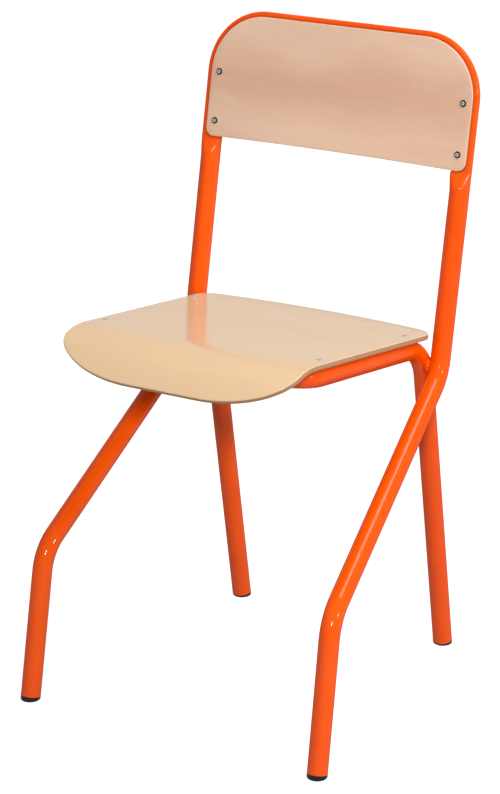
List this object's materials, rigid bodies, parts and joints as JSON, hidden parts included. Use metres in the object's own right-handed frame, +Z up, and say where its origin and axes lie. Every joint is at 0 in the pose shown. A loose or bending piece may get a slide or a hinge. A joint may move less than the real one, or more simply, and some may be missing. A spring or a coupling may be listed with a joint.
{
  "type": "school chair",
  "caption": "Fixed school chair with a bent steel tube frame, a moulded plywood seat with a rounded front edge and a plywood backrest, on plastic feet.",
  "frame": {"origin": "on the floor, midway between the feet", "axes": "+Z up, -Y towards the front of the seat, +X towards the sitter's left"},
  "size_m": [0.438, 0.4453, 0.8035],
  "materials": {
    "orange_powder_coat": "gloss powder coat on steel tube",
    "beech_plywood": "clear satin lacquer on beech veneer",
    "black_plastic": "moulded, matt",
    "rivet_aluminium": "plain, satin",
    "mandrel_steel": "broken end, dull"
  },
  "bodies": {
    "root": {"back_hoop": "orange_powder_coat", "seat_frame": "orange_powder_coat", "seat_panel": "beech_plywood", "backrest_panel": "beech_plywood", "front_left_weld": "orange_powder_coat", "front_right_weld": "orange_powder_coat", "rear_left_weld": "orange_powder_coat", "rear_right_weld": "orange_powder_coat", "front_left_foot": "black_plastic", "front_right_foot": "black_plastic", "rear_left_foot": "black_plastic", "rear_right_foot": "black_plastic", "front_left_seat_rivet": "rivet_aluminium", "front_right_seat_rivet": "rivet_aluminium", "rear_left_seat_rivet": "rivet_aluminium", "rear_right_seat_rivet": "rivet_aluminium", "lower_left_backrest_rivet": "rivet_aluminium", "lower_right_backrest_rivet": "rivet_aluminium", "upper_left_backrest_rivet": "rivet_aluminium", "upper_right_backrest_rivet": "rivet_aluminium", "front_left_seat_rivet_mandrel": "mandrel_steel", "front_right_seat_rivet_mandrel": "mandrel_steel", "rear_left_seat_rivet_mandrel": "mandrel_steel", "rear_right_seat_rivet_mandrel": "mandrel_steel", "lower_left_backrest_rivet_mandrel": "mandrel_steel", "lower_right_backrest_rivet_mandrel": "mandrel_steel", "upper_left_backrest_rivet_mandrel": "mandrel_steel", "upper_right_backrest_rivet_mandrel": "mandrel_steel"}
  },
  "joints": []
}
